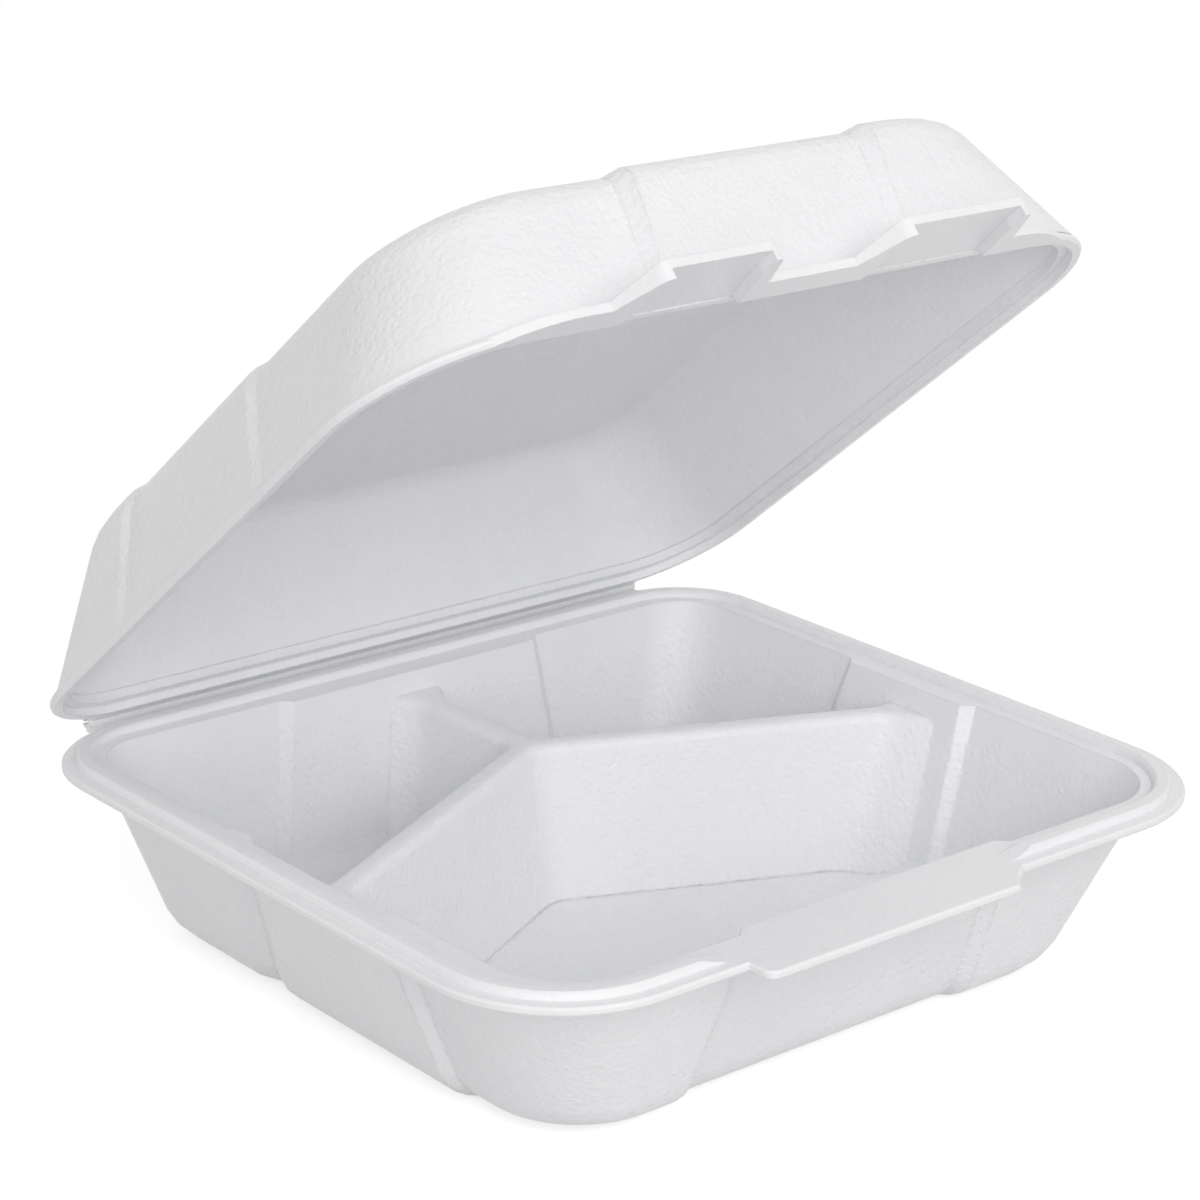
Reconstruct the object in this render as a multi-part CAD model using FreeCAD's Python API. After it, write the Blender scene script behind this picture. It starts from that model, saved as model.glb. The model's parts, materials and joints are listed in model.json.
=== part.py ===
import FreeCAD, Part
import math
import os

# Foam clamshell container with three compartments.
# Frame: X along the hinge, Y from the latch at -Y to the hinge at +Y, Z up.
# The origin is the middle of the tray's underside. Sizes are in millimetres.

# Tray rim
LIP_WIDTH = 235.0          # over the outer lip, along the hinge
LIP_DEPTH = 215.0          # over the outer lip, latch side to hinge side
LIP_HEIGHT = 51.0          # top of the outer lip above the table
FRONT_RADIUS = 37.0        # lip corners on the latch side
BACK_RADIUS = 30.0         # lip corners on the hinge side
SHEET = 2.4                # foam thickness
LIP_FLAT = 3.5             # flat outer lip
RIDGE_WIDTH = 5.0          # raised ridge on the rim
RIDGE_HEIGHT = 2.0
LEDGE_WIDTH = 4.0          # flat inner ledge beside the cavity
RISER_SLOPE = 0.4          # how far each side of the ridge leans
BEVEL = 0.7                # bevel along the free edges of the sheet

# Tray basin
WALL_LEAN = 17.0           # how far the side and latch walls come in, rim to floor
BACK_LEAN = 8.5            # the same for the hinge wall
FRONT_CORNER = 22.0        # inside radius of the cavity's corners, latch side
BACK_CORNER = 15.0         # the same on the hinge side
FLOOR_ROUND = 6.0          # inside radius between wall and floor
PANEL_STEP = 3.0           # depth of the set-back wall panels
PANEL_RAMP = 3.2           # width of the slope at each panel edge
# Where each panel edge lies, at the rim and at the floor
FRONT_PANEL = ((-45.0, -49.5), (42.0, 46.0))
BACK_PANEL = ((-42.0, -50.0), (44.0, 49.0))
RIGHT_PANEL = ((-22.0, -27.0), (24.0, 29.0))
LEFT_GROOVE = ((17.5, 24.0), (23.0, 32.0), (31.0, 41.0))
LEFT_STEP = (-36.0, -42.5)  # in front of this the left wall is set in

# Dividers, a Y seen from above
HUB = (0.0, 42.0)
DIVIDER_DROP = 6.0         # divider tops below the lip
DIVIDER_TOP = 6.8          # width at the top
DIVIDER_LEAN = 7.5         # each side widens by this much down to the floor
DIVIDER_ROUND = 2.2        # radius along the top edges
HUB_RADIUS = 9.5           # between two arms
FLARE_RADIUS = 12.0        # where an arm starts to widen
ARM_AIMS = ((0.0, 53.0), (-105.5, -52.0), (105.5, -45.0))
FLARE = 8.0                # widening of an arm where it meets the wall

# Latch tab on the tray
TAB_LEFT = -55.0
TAB_RIGHT = 28.0
TAB_REACH = 7.5            # beyond the lip
RIDGE_GAP = (-58.0, 34.0)  # the ridge stops here for the tab
RIDGE_FADE = 8.0

# Hinge
AXIS_BEHIND = 3.0          # hinge axis behind the tray lip
AXIS_ABOVE = 1.2           # hinge axis above the tray lip
BEAD_RADIUS = 2.0
BEAD_BORE = 0.9
BEAD_HALF = 95.0           # half the hinge bead's length
WEB = 1.6                  # thickness of the web that carries the bead
GAP = 0.3                  # clearance between tray and lid
REST_ANGLE = 39.5          # lid opening in the stored pose

# Lid
CHANNEL_GAP = 0.5          # clearance of the lid channel round the ridge
DOME_FOOT = 6.8            # inside foot of the lid's walls, in from the tray's lip edge
LID_HEIGHT = 42.0          # roof above the tray lip, lid closed
LID_FRONT_LIP = 6.0        # lid lip beyond the tray lip at the latch side
ROOF_HALF_WIDTH = 90.0
ROOF_BACK = 86.0
ROOF_FRONT = -98.0
ROOF_ROUND = 7.0           # outside radius between lid wall and roof
CORNER_CUT = 9.0           # the corners of the lid's walls are this much tighter than the lip's
STEP_RAMP = 3.0            # width of the slope at each step
# Steps of the lid's walls: place at the foot, place and depth at the roof
FRONT_STEPS = ((-37.0, -28.0, 4.5), (40.0, 46.0, 4.0))
LEFT_STEPS = ((-34.0, -17.0, 2.5), (44.0, 51.0, 2.5))
STEP_AT_FOOT = 0.4         # depth of a step at the foot, as a share of its depth at the roof
HOOKS = ((-54.0, -19.0), (21.0, 62.0))
HOOK_REACH = 12.5          # beyond the lid lip
HOOK_RAISE = 2.6           # hook underside above the lid lip underside

V = FreeCAD.Vector
HALF_W = LIP_WIDTH / 2
HALF_D = LIP_DEPTH / 2
CAVITY = LIP_FLAT + RIDGE_WIDTH + LEDGE_WIDTH
SKIN = SHEET * 1.05        # sheet measured level through a leaning wall of the tray
LID_SKIN = SHEET * 1.15    # the same in the lid, whose walls lean more
FLOOR = SHEET - LIP_HEIGHT
AXIS_Y = HALF_D + AXIS_BEHIND
LID_FRONT_CORNER = FRONT_RADIUS - CORNER_CUT
LID_BACK_CORNER = BACK_RADIUS - CORNER_CUT
CEILING = RIDGE_HEIGHT + CHANNEL_GAP       # underside of the lid's rim plate
STRIPS = 4                 # strips in each rounded floor or roof edge
FAR = 200.0


def rounded(spots):
    """Closed wire through (point, radius) pairs; radius 0 leaves a sharp corner."""
    edges = []
    turns = []
    count = len(spots)
    for i in range(count):
        here, radius = spots[i]
        if radius == 0:
            turns.append((here, None, here))
            continue
        before = spots[i - 1][0] - here
        after = spots[(i + 1) % count][0] - here
        before.normalize()
        after.normalize()
        half = before.getAngle(after) / 2
        reach = radius / math.tan(half)
        middle = before + after
        middle.normalize()
        bulge = here + middle * (radius / math.sin(half) - radius)
        turns.append((here + before * reach, bulge, here + after * reach))
    for i in range(count):
        start, bulge, end = turns[i]
        if bulge is not None:
            edges.append(Part.Arc(start, bulge, end).toShape())
        edges.append(Part.makeLine(end, turns[(i + 1) % count][0]))
    return Part.Wire(edges)


def outline(corners, z):
    """Level wire through corners given as (x, y, radius)."""
    return rounded([(V(x, y, z), radius) for x, y, radius in corners])


def loft(wires):
    return Part.makeLoft(wires, True, True)


def rectangle(left, right, front, back, front_radius, back_radius):
    return [(left, front, front_radius), (right, front, front_radius),
            (right, back, back_radius), (left, back, back_radius)]


def box(x0, x1, y0, y1, z0, z1):
    return Part.makeBox(x1 - x0, y1 - y0, z1 - z0, V(x0, y0, z0))


def prism(points, axis, start, length):
    """Polygon in the plane across the named axis, pushed along that axis."""
    place = {"X": lambda a, b: V(start, a, b),
             "Y": lambda a, b: V(a, start, b),
             "Z": lambda a, b: V(a, b, start)}[axis]
    push = {"X": V(length, 0, 0), "Y": V(0, length, 0), "Z": V(0, 0, length)}[axis]
    loop = [place(a, b) for a, b in points]
    return Part.Face(Part.makePolygon(loop + loop[:1])).extrude(push)


def fuse(solids):
    return solids[0].fuse(solids[1:]).removeSplitter()


def rim_path():
    """The lip outline as a wire that starts in the middle of the latch side."""
    corners = rectangle(-HALF_W, HALF_W, -HALF_D, HALF_D, FRONT_RADIUS, BACK_RADIUS)
    edges = []
    points = []
    for x, y, radius in corners:
        sx = math.copysign(1, x)
        sy = math.copysign(1, y)
        side = V(x, y - sy * radius, 0)
        level = V(x - sx * radius, y, 0)
        lean = radius * (1 - math.sqrt(0.5))
        points.append((side, V(x - sx * lean, y - sy * lean, 0), level))
    front_left, front_right, back_right, back_left = points
    start = V(0, -HALF_D, 0)
    edges.append(Part.makeLine(start, front_right[2]))
    edges.append(Part.Arc(front_right[2], front_right[1], front_right[0]).toShape())
    edges.append(Part.makeLine(front_right[0], back_right[0]))
    edges.append(Part.Arc(*back_right).toShape())
    edges.append(Part.makeLine(back_right[2], back_left[2]))
    edges.append(Part.Arc(back_left[2], back_left[1], back_left[0]).toShape())
    edges.append(Part.makeLine(back_left[0], front_left[0]))
    edges.append(Part.Arc(*front_left).toShape())
    edges.append(Part.makeLine(front_left[2], start))
    return Part.Wire(edges)


def profile(points):
    """Rim section from (distance inside the lip edge, height) points."""
    return rounded([(V(0, u - HALF_D, z), 0) for u, z in points])


def sweep(section):
    pipe = Part.BRepOffsetAPI.MakePipeShell(rim_path())
    pipe.setBiNormalMode(V(0, 0, 1))
    pipe.add(section)
    pipe.build()
    pipe.makeSolid()
    solid = pipe.shape()
    return Part.Solid(solid) if solid.ShapeType != "Solid" else solid


def tray_rim():
    ridge_out = LIP_FLAT
    ridge_in = LIP_FLAT + RIDGE_WIDTH
    under = (ridge_out + ridge_in) / 2
    inner = CAVITY + PANEL_STEP + SHEET
    soft = RISER_SLOPE + BEVEL
    return sweep(profile([
        (BEVEL, -SHEET), (0, -SHEET + BEVEL), (0, -BEVEL), (BEVEL, 0), (ridge_out, 0),
        (ridge_out + RISER_SLOPE, RIDGE_HEIGHT - BEVEL), (ridge_out + soft, RIDGE_HEIGHT),
        (ridge_in - soft, RIDGE_HEIGHT), (ridge_in - RISER_SLOPE, RIDGE_HEIGHT - BEVEL),
        (ridge_in, 0), (inner, 0), (inner, -SHEET),
        (under + 1.3, -SHEET), (under, -SHEET / 2), (under - 1.3, -SHEET)]))


def set_in(corners, amount):
    """Move every wall of an outline inwards; its corners run anticlockwise."""
    moved = []
    for i in range(len(corners)):
        x, y, radius = corners[i]
        before = corners[i - 1]
        after = corners[(i + 1) % len(corners)]
        came = V(x - before[0], y - before[1], 0).normalize()
        goes = V(after[0] - x, after[1] - y, 0).normalize()
        shift = amount / (1 + came.dot(goes))
        turn = radius - amount if radius > 0 else 0
        moved.append((x - shift * (came.y + goes.y), y + shift * (came.x + goes.x), turn))
    return moved


def vessel(walls, rim, flat, rounding, grow):
    """Solid between heights rim and flat, with walls(z) moved out by grow and a rounded flat end."""
    away = 1 if rim > flat else -1
    sections = [outline(set_in(walls(rim, 0), -grow), rim)]
    for i in range(STRIPS + 1):
        angle = math.pi / 2 * i / STRIPS
        z = flat + away * rounding * (1 - math.sin(angle))
        inwards = rounding * (1 - math.cos(angle))
        sections.append(outline(set_in(walls(z, inwards), -grow), z))
    return loft(sections)


def placed(edge, z):
    """Place of a panel edge at height z, from its places at the rim and at the floor."""
    return edge[0] + (edge[1] - edge[0]) * z / FLOOR


def ramp(along, start, end):
    """Two spots of a slope in the middle of along, from wall distance start to end."""
    return [(along - PANEL_RAMP / 2, start), (along + PANEL_RAMP / 2, end)]


def panel(wall, inner, edges, z):
    """Spots (along, across) of a wall panel set back from wall to inner."""
    return ramp(placed(edges[0], z), wall, inner) + ramp(placed(edges[1], z), inner, wall)


def basin_size(z, inwards):
    """Half width, latch wall and hinge wall of the cavity at height z."""
    side = CAVITY + WALL_LEAN * z / FLOOR + inwards
    back = CAVITY + BACK_LEAN * z / FLOOR + inwards
    return HALF_W - side, side - HALF_D, HALF_D - back


def basin_walls(z, inwards):
    """Cavity outline with its set-back panels."""
    x, front, back = basin_size(z, inwards)
    step = PANEL_STEP
    front_panel = panel(front, front + step, FRONT_PANEL, z)
    right_panel = panel(x, x - step, RIGHT_PANEL, z)
    back_panel = panel(back, back - step, BACK_PANEL, z)
    low, deep, high = [placed(edge, z) for edge in LEFT_GROOVE]
    left_step = ramp(placed(LEFT_STEP, z), -x + step, -x)
    corners = [(-x + step, front, FRONT_CORNER)]
    corners += [(a, b, 0) for a, b in front_panel] + [(x, front, FRONT_CORNER)]
    corners += [(b, a, 0) for a, b in right_panel] + [(x, back, BACK_CORNER)]
    corners += [(a, b, 0) for a, b in reversed(back_panel)] + [(-x, back, BACK_CORNER)]
    corners += [(-x, high, 0), (-x + step, deep, 0), (-x, low, 0)]
    return corners + [(b, a, 0) for a, b in reversed(left_step)]


def plain_walls(z):
    """Cavity outline inside every panel."""
    x, front, back = basin_size(z, PANEL_STEP)
    return rectangle(-x, x, front, back, FRONT_CORNER, BACK_CORNER)


def arm_directions():
    found = []
    for x, y in ARM_AIMS:
        length = math.hypot(x, y)
        found.append((x / length, y / length, length))
    return found


def divider_outline(half_width, thinner, z):
    """Y outline at height z; its arms end in the basin walls."""
    corners = []
    leans = (BACK_LEAN, WALL_LEAN, WALL_LEAN)
    arms = arm_directions()
    hub_x, hub_y = HUB
    for i in range(3):
        dx, dy, length = arms[i]
        ex, ey, _ = arms[(i + 1) % 3]
        begin = length - leans[i] * z / FLOOR - PANEL_STEP / 2 - FLARE
        end = begin + FLARE + 14
        spread = (end - begin) * 0.8
        for side, along, wide, radius in ((-1, begin, 0, FLARE_RADIUS), (-1, end, spread, 0),
                                          (1, end, spread, 0), (1, begin, 0, FLARE_RADIUS)):
            offset = side * (half_width + wide)
            corners.append((hub_x + dx * along - dy * offset, hub_y + dy * along + dx * offset, radius))
        # where this arm's left side meets the next arm's right side
        ax, ay = hub_x - dy * half_width, hub_y + dx * half_width
        bx, by = hub_x + ey * half_width, hub_y - ex * half_width
        cross = dx * ey - dy * ex
        t = ((bx - ax) * ey - (by - ay) * ex) / cross
        corners.append((ax + dx * t, ay + dy * t, HUB_RADIUS + thinner))
    return outline(corners, z)


def divider(thinner, low, high, rounding):
    """Y shaped solid from height low to high, its sides moved in by thinner."""
    def level(z, inwards):
        down = (z + DIVIDER_DROP) / (FLOOR + DIVIDER_DROP)
        half_width = DIVIDER_TOP / 2 + DIVIDER_LEAN * down - thinner - inwards
        return divider_outline(half_width, thinner, z)

    sections = [level(low, 0)]
    for i in range(STRIPS if rounding > 0 else 1):
        angle = math.pi / 2 * i / (STRIPS - 1)
        sections.append(level(high - rounding * (1 - math.sin(angle)), rounding * (1 - math.cos(angle))))
    return loft(sections)


def latch_tab():
    front = -HALF_D - TAB_REACH
    plan = [(TAB_LEFT, -HALF_D + 6, 2), (TAB_LEFT, front, 3), (TAB_RIGHT - 2, front, 2),
            (TAB_RIGHT + 2, front + 4.5, 2), (TAB_RIGHT + 8, -HALF_D + 0.5, 3), (TAB_RIGHT + 8, -HALF_D + 6, 2)]
    tab = Part.Face(outline(plan, -SHEET)).extrude(V(0, 0, SHEET))
    edges = [e for e in tab.Edges if e.BoundBox.ZLength < 1e-4 and e.BoundBox.YMin < -HALF_D - 1]
    return tab.makeChamfer(BEVEL, edges)


def ridge_cutter():
    low, high = RIDGE_GAP
    top = RIDGE_HEIGHT + 1
    points = [(low - RIDGE_FADE, RIDGE_HEIGHT), (low, 0), (high, 0), (high + RIDGE_FADE, RIDGE_HEIGHT),
              (high + RIDGE_FADE, top), (low - RIDGE_FADE, top)]
    return prism(points, "Y", -HALF_D - 1, CAVITY + 3)


def hinge_bead():
    middle = V(-BEAD_HALF, AXIS_Y, AXIS_ABOVE)
    length = 2 * BEAD_HALF
    bead = Part.makeCylinder(BEAD_RADIUS, length, middle, V(1, 0, 0))
    web = box(-BEAD_HALF, BEAD_HALF, HALF_D - 2, AXIS_Y, -WEB, 0)
    bore = Part.makeCylinder(BEAD_BORE, length, middle, V(1, 0, 0))
    slot = box(-BEAD_HALF, BEAD_HALF, AXIS_Y, AXIS_Y + BEAD_RADIUS + 1, AXIS_ABOVE - 1.0, AXIS_ABOVE - 0.2)
    return bead.fuse(web).cut(bore).cut(slot)


def make_tray():
    outside = vessel(basin_walls, 0, -LIP_HEIGHT, FLOOR_ROUND + SHEET, SKIN)
    rim = tray_rim().cut(ridge_cutter())
    body = fuse([outside, rim, latch_tab(), hinge_bead()])
    inside = vessel(basin_walls, 0, FLOOR, FLOOR_ROUND, 0)
    inside = inside.cut(divider(0, FLOOR - 1, -DIVIDER_DROP, DIVIDER_ROUND))
    body = body.cut(inside)
    hollow = divider(SHEET, -LIP_HEIGHT - 1, -DIVIDER_DROP - SHEET, 0)
    low = -LIP_HEIGHT - 1
    keep = loft([outline(plain_walls(low), low), outline(plain_walls(0), 0)])
    return body.cut(hollow.common(keep))


def lid_rim():
    start = LIP_FLAT - CHANNEL_GAP
    top = GAP + SHEET
    inner = DOME_FOOT + SHEET
    return sweep(profile([
        (BEVEL, top), (0, top - BEVEL), (0, GAP + BEVEL), (BEVEL, GAP),
        (start, GAP), (start + 0.3, CEILING), (inner, CEILING), (inner, CEILING + SHEET),
        (start + 1.4, CEILING + SHEET), (start, top)]))


def dome_walls(z, inwards):
    """Inside outline of the lid at height z; the latch and left walls step out in stairs."""
    roof = LID_HEIGHT - SHEET
    up = (z - CEILING) / (roof - CEILING)

    def between(low, high):
        return low + (high - low) * up

    x = between(HALF_W - DOME_FOOT, ROOF_HALF_WIDTH - LID_SKIN) - inwards
    front = between(-HALF_D + DOME_FOOT, ROOF_FRONT + LID_SKIN) + inwards
    back = between(HALF_D - DOME_FOOT, ROOF_BACK - LID_SKIN) - inwards
    half = STEP_RAMP / 2
    left = -x
    corners = []
    for foot, top, depth in LEFT_STEPS:
        y = between(foot, top)
        step = depth * between(STEP_AT_FOOT, 1)
        corners = [(left - step, y + half, 0), (left, y - half, 0)] + corners
        left -= step
    corners = corners + [(-x, front, LID_FRONT_CORNER)]
    for foot, top, depth in FRONT_STEPS:
        along = between(foot, top)
        step = depth * between(STEP_AT_FOOT, 1)
        corners += [(along - half, front, 0), (along + half, front - step, 0)]
        front -= step
    return corners + [(x, front, LID_FRONT_CORNER), (x, back, LID_BACK_CORNER), (left, back, LID_BACK_CORNER)]


def lid_opening():
    """Opening of the lid's rim, below the stairs."""
    high = CEILING + SHEET
    corners = rectangle(-HALF_W + DOME_FOOT, HALF_W - DOME_FOOT, -HALF_D + DOME_FOOT, HALF_D - DOME_FOOT,
                        LID_FRONT_CORNER, LID_BACK_CORNER)
    return loft([outline(corners, CEILING - 1), outline(corners, high)])


def front_flange():
    """Flat lip at the latch side with the two hooks."""
    front = -HALF_D - LID_FRONT_LIP
    side = HALF_W - FRONT_RADIUS
    plan = [(-side - 24, -HALF_D + 11, 4), (-side + 2, front, 34), (side - 2, front, 34),
            (side + 24, -HALF_D + 11, 4), (side, -HALF_D + 14, 4), (-side, -HALF_D + 14, 4)]
    plate = Part.Face(outline(plan, GAP)).extrude(V(0, 0, SHEET))
    inset = LIP_FLAT / 2
    within = rectangle(-HALF_W + inset, HALF_W - inset, -HALF_D + inset, HALF_D - inset,
                       FRONT_RADIUS - inset, BACK_RADIUS - inset)
    return plate.cut(Part.Face(outline(within, GAP - 1)).extrude(V(0, 0, SHEET + 2)))


def hook(left, right):
    """Raised block that reaches over the tray's tab, with a slope on its left side."""
    lip = -HALF_D - LID_FRONT_LIP
    front = lip - HOOK_REACH
    back = -HALF_D + DOME_FOOT + 1
    plan = [(left - 8, back, 1), (left - 7, lip, 5), (left + 1, front, 4), (right, front, 1.5),
            (right + 4.5, lip + 0.5, 1.5), (right + 4.5, back, 1)]
    block = Part.Face(outline(plan, GAP)).extrude(V(0, 0, HOOK_RAISE + SHEET))
    channel = box(left - 9, right + 6, -HALF_D + LIP_FLAT - CHANNEL_GAP, back + 1, GAP - 1, CEILING)
    top = GAP + HOOK_RAISE + SHEET
    slope = prism([(left - 12, top + 1), (left - 12, GAP + SHEET), (left - 7, GAP + SHEET),
                   (left + 1, top), (left + 1, top + 1)], "Y", front - 4, 40)
    return block.cut(channel).cut(slope)


def hook_pocket(left, right):
    """Room under a hook, open to the front and through the lid's lip."""
    front = -HALF_D - LID_FRONT_LIP - HOOK_REACH
    back = -HALF_D + LIP_FLAT + 1
    plan = [(left + 1, back), (left + 3, front + 6), (left + 3, front - 3), (right - 2, front - 3),
            (right - 2, front + 6), (right + 1.6, back)]
    return prism(plan, "Z", GAP - 1, HOOK_RAISE + 1)


def hinge_tongue():
    tongue = box(-BEAD_HALF + 1, BEAD_HALF - 1, HALF_D - 3, AXIS_Y, GAP, GAP + SHEET)
    room = Part.makeCylinder(BEAD_RADIUS + GAP, FAR, V(-FAR / 2, AXIS_Y, AXIS_ABOVE), V(1, 0, 0))
    return tongue.cut(room)


def make_lid():
    shell = vessel(dome_walls, CEILING, LID_HEIGHT, ROOF_ROUND, LID_SKIN)
    parts = [shell, lid_rim(), front_flange(), hinge_tongue()]
    for left, right in HOOKS:
        parts.append(hook(left, right))
    body = fuse(parts)
    for left, right in HOOKS:
        body = body.cut(hook_pocket(left, right))
    inside = vessel(dome_walls, CEILING + SHEET, LID_HEIGHT - SHEET, ROOF_ROUND - SHEET, 0)
    return body.cut(inside).cut(lid_opening())


def save(shape, name):
    shape.exportStep(os.path.join("parts", name + ".step"))


os.makedirs("parts", exist_ok=True)
lift = V(0, 0, LIP_HEIGHT)
tray = make_tray()
tray.translate(lift)
lid = make_lid()
lid.rotate(V(0, AXIS_Y, AXIS_ABOVE), V(1, 0, 0), -REST_ANGLE)
lid.translate(lift)
save(tray, "tray")
save(lid, "lid")
for label, shape in (("tray", tray), ("lid", lid)):
    print(label, "solids", len(shape.Solids), "valid", shape.isValid(), "volume", round(shape.Volume),
          "faces", len(shape.Faces))
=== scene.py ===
import bpy
import json
import math
from mathutils import Matrix, Vector

# Looks of the foam clamshell container. Metres, in the frame of the solids.

# Camera
TARGET = Vector((0.0803, 0.1072, 0.051))   # the point the camera looks at
AZIMUTH = math.radians(-40.2)
ELEVATION = math.radians(18.9)
ROLL = math.radians(1.0)
DISTANCE = 0.9894
LENS = 99.82                               # mm
SENSOR = 36.0                              # mm

# Foam, whose edges and relief are crisper at the rim than away from it
RIM_TOP = 0.051                            # the tray's lip above the table
EDGE_ZONE = (0.004, 0.012)                 # distance from the rim's plane where the edges soften
EDGE_RADIUS = (0.0004, 0.0018)
RELIEF_ZONE = (0.003, 0.010)               # distance from the rim's plane where the relief deepens
RELIEF_DEPTH = (0.0012, 0.0026)
PULL = (1.0, 1.0, 0.35)                    # draws the folds out upwards
GRAIN_SCALE = 900.0
BEAD_SCALE = 560.0
FOLD_SCALE = 120.0
CLOUD_SCALE = 22.0                         # slow change of tone
GRAIN_RELIEF = 0.10                        # how much each texture adds to the relief
BEAD_RELIEF = -0.08
FOLD_RELIEF = 0.13
FOLD_TONE = 0.5                            # how much the folds add to the tone
TONE_SPAN = (0.5, 1.0)                     # tone at the darker and at the lighter foam
DARKER_FOAM = (0.895, 0.898, 0.912, 1)
LIGHTER_FOAM = (0.922, 0.924, 0.934, 1)
# painted highlight: the colour given to sharp bends
PAINTED_HIGHLIGHT_FOAM = (0.975, 0.976, 0.980, 1)
BEND = (0.995, 0.93)                       # cosine at which a bend starts to show and shows in full, as painted highlight and gloss
GRAIN_SPAN = (0.3, 0.7)                    # grain at the lower and at the higher roughness
ROUGHNESS = (0.30, 0.44)
BEND_GLOSS = 0.10                          # how much less rough a bend is
REFRACTION = 1.5

# Floor and backdrop
WHITE = (1, 1, 1, 1)
FLOOR_HALF = 2.5                           # half the floor's side
FLOOR_DROP = 0.0002                        # keeps the floor just clear of the tray's underside
FLOOR_COLOUR = (0.72, 0.72, 0.725, 1)
FLOOR_LIFT = 0.60                          # how much whiter the floor looks than it is lit
FLOOR_FADE = (0.17, 0.40)                  # distance from the middle where the floor fades out
SKY = 0.54                                 # strength of the light from all round

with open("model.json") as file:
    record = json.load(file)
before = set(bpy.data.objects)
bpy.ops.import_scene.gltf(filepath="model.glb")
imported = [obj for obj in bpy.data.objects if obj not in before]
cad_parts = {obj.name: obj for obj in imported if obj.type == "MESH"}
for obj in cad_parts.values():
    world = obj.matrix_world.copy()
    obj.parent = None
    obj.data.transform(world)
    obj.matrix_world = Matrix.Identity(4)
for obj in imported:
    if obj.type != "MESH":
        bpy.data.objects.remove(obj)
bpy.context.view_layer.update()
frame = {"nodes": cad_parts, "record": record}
lid_joint = frame["record"]["behaviour"]["joints"][0]
hinge = Vector(lid_joint["pos_m"])         # a point on the hinge axis
opening = math.radians(-lid_joint["range_deg"][0])   # how far the lid stands open


def make_camera():
    data = bpy.data.cameras.new("camera")
    data.lens = LENS
    data.sensor_width = SENSOR
    data.sensor_fit = "HORIZONTAL"
    data.clip_start = 0.01
    camera = bpy.data.objects.new("camera", data)
    back = Vector((math.sin(AZIMUTH) * math.cos(ELEVATION),
                   -math.cos(AZIMUTH) * math.cos(ELEVATION),
                   math.sin(ELEVATION)))
    level = Vector((0, 0, 1)).cross(back).normalized()
    rise = back.cross(level)
    right = level * math.cos(ROLL) + rise * math.sin(ROLL)
    up = rise * math.cos(ROLL) - level * math.sin(ROLL)
    turn = Matrix((right, up, back)).transposed().to_4x4()
    camera.matrix_world = Matrix.Translation(TARGET + back * DISTANCE) @ turn
    bpy.context.scene.collection.objects.link(camera)
    bpy.context.scene.camera = camera


class Nodes:
    """Short way to add and join the nodes of one material or world."""

    def __init__(self, owner):
        owner.use_nodes = True
        self.tree = owner.node_tree
        self.tree.nodes.clear()

    def add(self, kind, values=None, **settings):
        node = self.tree.nodes.new(kind)
        for name, value in settings.items():
            setattr(node, name, value)
        for name, value in (values or {}).items():
            self.feed(node.inputs[name], value)
        return node

    def feed(self, socket, value):
        """Join socket to another node's output, or give it a plain value."""
        if isinstance(value, bpy.types.NodeSocket):
            self.tree.links.new(value, socket)
        else:
            socket.default_value = value

    def join(self, kind, *values, **settings):
        """Node whose inputs take the values in their order."""
        node = self.add(kind, **settings)
        for socket, value in zip(node.inputs, values):
            self.feed(socket, value)
        return node

    def maths(self, operation, first, second=0.0):
        return self.join("ShaderNodeMath", first, second, operation=operation).outputs[0]

    def vectors(self, operation, *vectors):
        return self.join("ShaderNodeVectorMath", *vectors, operation=operation).outputs["Value"]

    def ramp(self, value, span, result=(0.0, 1.0)):
        """Value mapped from span to result, and held at both ends."""
        node = self.add("ShaderNodeMapRange", {"Value": value, "From Min": span[0], "From Max": span[1],
                                               "To Min": result[0], "To Max": result[1]})
        return node.outputs["Result"]

    def blend(self, factor, first, second):
        """Colour between first and second."""
        node = self.add("ShaderNodeMix", {"Factor": factor, "A": first, "B": second}, data_type="RGBA")
        return node.outputs["Result"]


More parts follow.
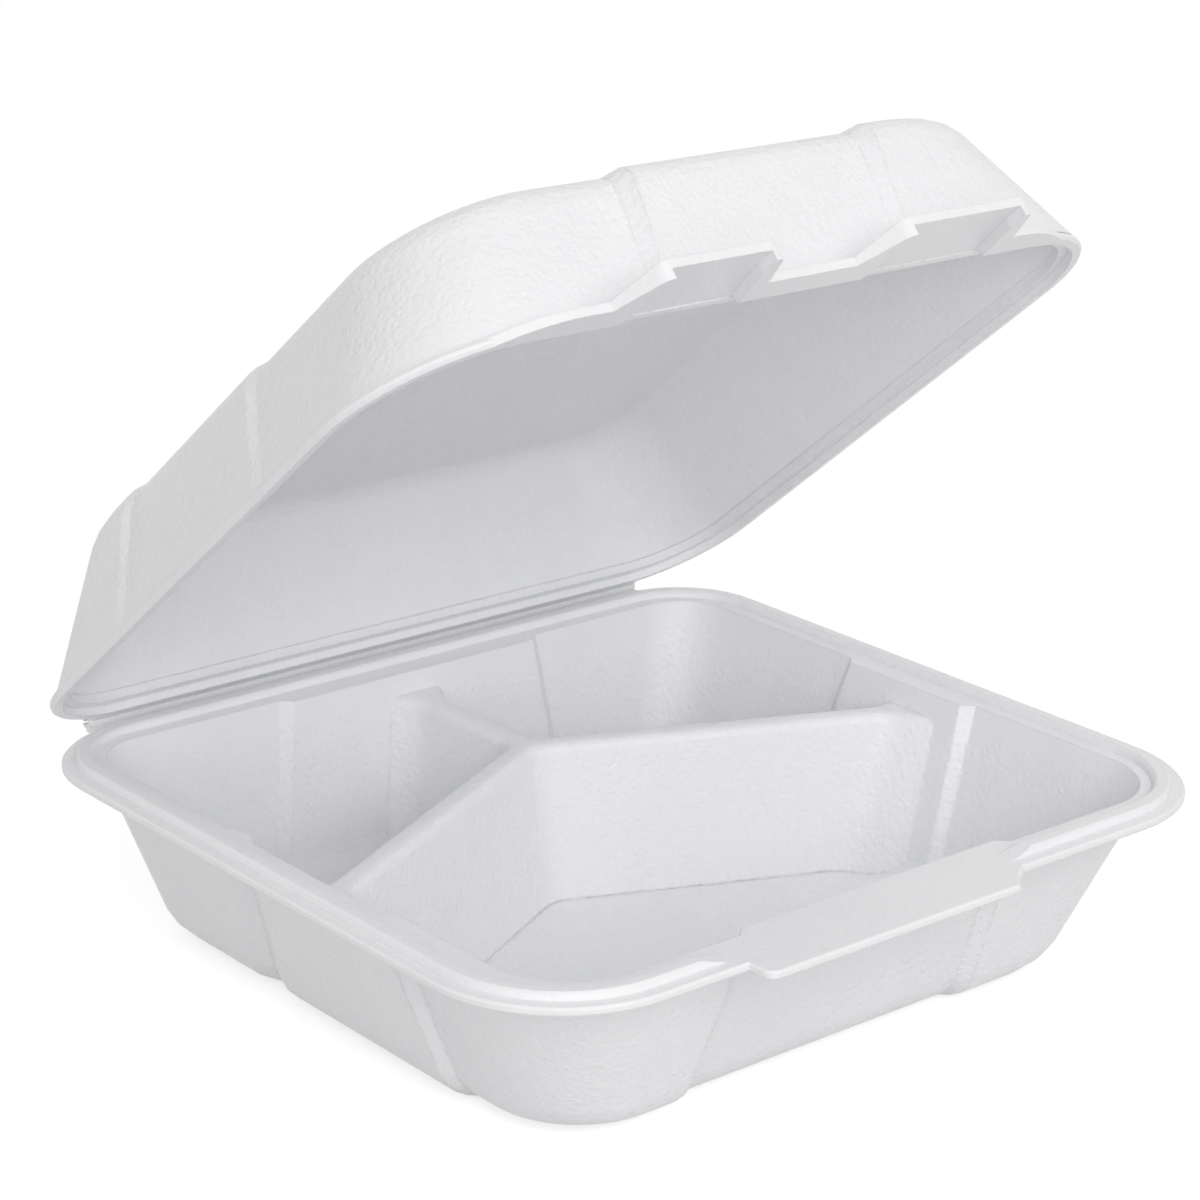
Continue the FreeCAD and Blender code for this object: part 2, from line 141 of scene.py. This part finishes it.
def foam(name, rim_normal, rim_point):
    """White foam with a fine pebbled skin, for a piece whose rim lies in the given plane."""
    material = bpy.data.materials.new(name)
    n = Nodes(material)
    place = n.add("ShaderNodeTexCoord").outputs["Object"]
    level = n.vectors("DOT_PRODUCT", place, rim_normal)
    height = n.maths("ABSOLUTE", n.maths("SUBTRACT", level, rim_normal.dot(rim_point)))
    edges = n.add("ShaderNodeBevel", {"Radius": n.ramp(height, EDGE_ZONE, EDGE_RADIUS)}, samples=2)
    soft_normal = edges.outputs["Normal"]

    # The skin is drawn in the direction of the pull, so its folds are longer than wide
    pulled = n.add("ShaderNodeMapping", {"Vector": place, "Scale": PULL}).outputs["Vector"]
    grain = n.add("ShaderNodeTexNoise", {"Vector": place, "Scale": GRAIN_SCALE, "Detail": 2.0,
                                         "Roughness": 0.6}).outputs["Fac"]
    beads = n.add("ShaderNodeTexVoronoi", {"Vector": place, "Scale": BEAD_SCALE, "Randomness": 1.0},
                  feature="F1").outputs["Distance"]
    folds = n.add("ShaderNodeTexNoise", {"Vector": pulled, "Scale": FOLD_SCALE, "Detail": 2.0,
                                         "Roughness": 0.55}).outputs["Fac"]
    cloud = n.add("ShaderNodeTexNoise", {"Vector": place, "Scale": CLOUD_SCALE, "Detail": 1.0,
                                         "Roughness": 0.5}).outputs["Fac"]

    pebbles = n.maths("ADD", n.maths("MULTIPLY", grain, GRAIN_RELIEF),
                      n.maths("MULTIPLY", beads, BEAD_RELIEF))
    skin = n.maths("ADD", pebbles, n.maths("MULTIPLY", folds, FOLD_RELIEF))
    relief = n.add("ShaderNodeBump", {"Height": skin, "Strength": 1.0, "Normal": soft_normal,
                                      "Distance": n.ramp(height, RELIEF_ZONE, RELIEF_DEPTH)})

    tone = n.ramp(n.maths("ADD", cloud, n.maths("MULTIPLY", folds, FOLD_TONE)), TONE_SPAN)
    colour = n.blend(tone, DARKER_FOAM, LIGHTER_FOAM)

    # Where the sheet bends sharply it is painted whiter, a painted highlight, and made glossier
    face_normal = n.add("ShaderNodeNewGeometry").outputs["Normal"]
    bend_highlight_and_gloss = n.ramp(n.vectors("DOT_PRODUCT", soft_normal, face_normal), BEND)
    gloss = n.maths("SUBTRACT", n.ramp(grain, GRAIN_SPAN, ROUGHNESS), n.maths("MULTIPLY", bend_highlight_and_gloss, BEND_GLOSS))
    surface = n.add("ShaderNodeBsdfPrincipled", {
        "Base Color": n.blend(bend_highlight_and_gloss, colour, PAINTED_HIGHLIGHT_FOAM), "Roughness": gloss, "IOR": REFRACTION,
        "Specular IOR Level": 0.5, "Normal": relief.outputs["Normal"]})
    n.add("ShaderNodeOutputMaterial", {"Surface": surface.outputs["BSDF"]})
    return material


def dress(node, material):
    piece = frame["nodes"][node]
    piece.data.materials.clear()
    piece.data.materials.append(material)


def seen_directly(n):
    """1 for what the camera sees directly, in a reflection or through glass."""
    path = n.add("ShaderNodeLightPath")
    straight = n.maths("MAXIMUM", path.outputs["Is Camera Ray"], path.outputs["Is Glossy Ray"])
    return n.maths("MAXIMUM", straight, path.outputs["Is Transmission Ray"])


def floor_paper():
    """White paper that keeps the object's shadow and fades into the backdrop."""
    material = bpy.data.materials.new("floor_paper")
    n = Nodes(material)
    place = n.add("ShaderNodeTexCoord").outputs["Object"]
    fade = n.ramp(n.vectors("LENGTH", place), FLOOR_FADE)
    paper = n.add("ShaderNodeBsdfDiffuse", {"Color": FLOOR_COLOUR})
    lift = n.add("ShaderNodeEmission", {"Color": WHITE,
                                        "Strength": n.maths("MULTIPLY", seen_directly(n), FLOOR_LIFT)})
    lit = n.join("ShaderNodeAddShader", paper.outputs[0], lift.outputs[0])
    clear = n.add("ShaderNodeBsdfTransparent")
    faded = n.join("ShaderNodeMixShader", fade, lit.outputs[0], clear.outputs[0])
    n.add("ShaderNodeOutputMaterial", {"Surface": faded.outputs[0]})
    return material


def make_floor():
    mesh = bpy.data.meshes.new("floor")
    half = FLOOR_HALF
    corners = [(-half, -half, 0), (half, -half, 0), (half, half, 0), (-half, half, 0)]
    mesh.from_pydata(corners, [], [(0, 1, 2, 3)])
    mesh.materials.append(floor_paper())
    floor = bpy.data.objects.new("floor", mesh)
    floor.location.z = -FLOOR_DROP
    bpy.context.scene.collection.objects.link(floor)


def make_world():
    """White backdrop to the camera, softer light for everything else."""
    world = bpy.data.worlds.new("studio")
    bpy.context.scene.world = world
    n = Nodes(world)
    strength = n.ramp(seen_directly(n), (0.0, 1.0), (SKY, 1.0))
    back = n.add("ShaderNodeBackground", {"Color": WHITE, "Strength": strength})
    n.add("ShaderNodeOutputWorld", {"Surface": back.outputs[0]})


def make_lamp(name, place, aim, width, height, power):
    """Rectangular lamp that shines from place towards aim; power in watts."""
    data = bpy.data.lights.new(name, "AREA")
    data.shape = "RECTANGLE"
    data.size = width
    data.size_y = height
    data.energy = power
    lamp = bpy.data.objects.new(name, data)
    lamp.location = place
    lamp.rotation_euler = (Vector(aim) - Vector(place)).to_track_quat("-Z", "Y").to_euler()
    bpy.context.scene.collection.objects.link(lamp)


make_camera()
make_world()
make_floor()
make_lamp("key", place=(-0.35, -1.4, 0.95), aim=(0, 0, 0.05), width=1.4, height=0.8, power=7.1)
make_lamp("fill", place=(-1.1, -1.05, 0.5), aim=(0, 0, 0.07), width=1.3, height=0.7, power=4.0)
make_lamp("top", place=(0.1, -0.8, 1.4), aim=(0, 0, 0.05), width=1.2, height=1.0, power=2.4)

upright = Vector((0, 0, 1))
lid_upright = Vector((0, math.sin(opening), math.cos(opening)))
dress("tray", foam("foam_tray", upright, upright * RIM_TOP))
dress("lid", foam("foam_lid", lid_upright, hinge))

bpy.context.scene.view_settings.view_transform = "Standard"
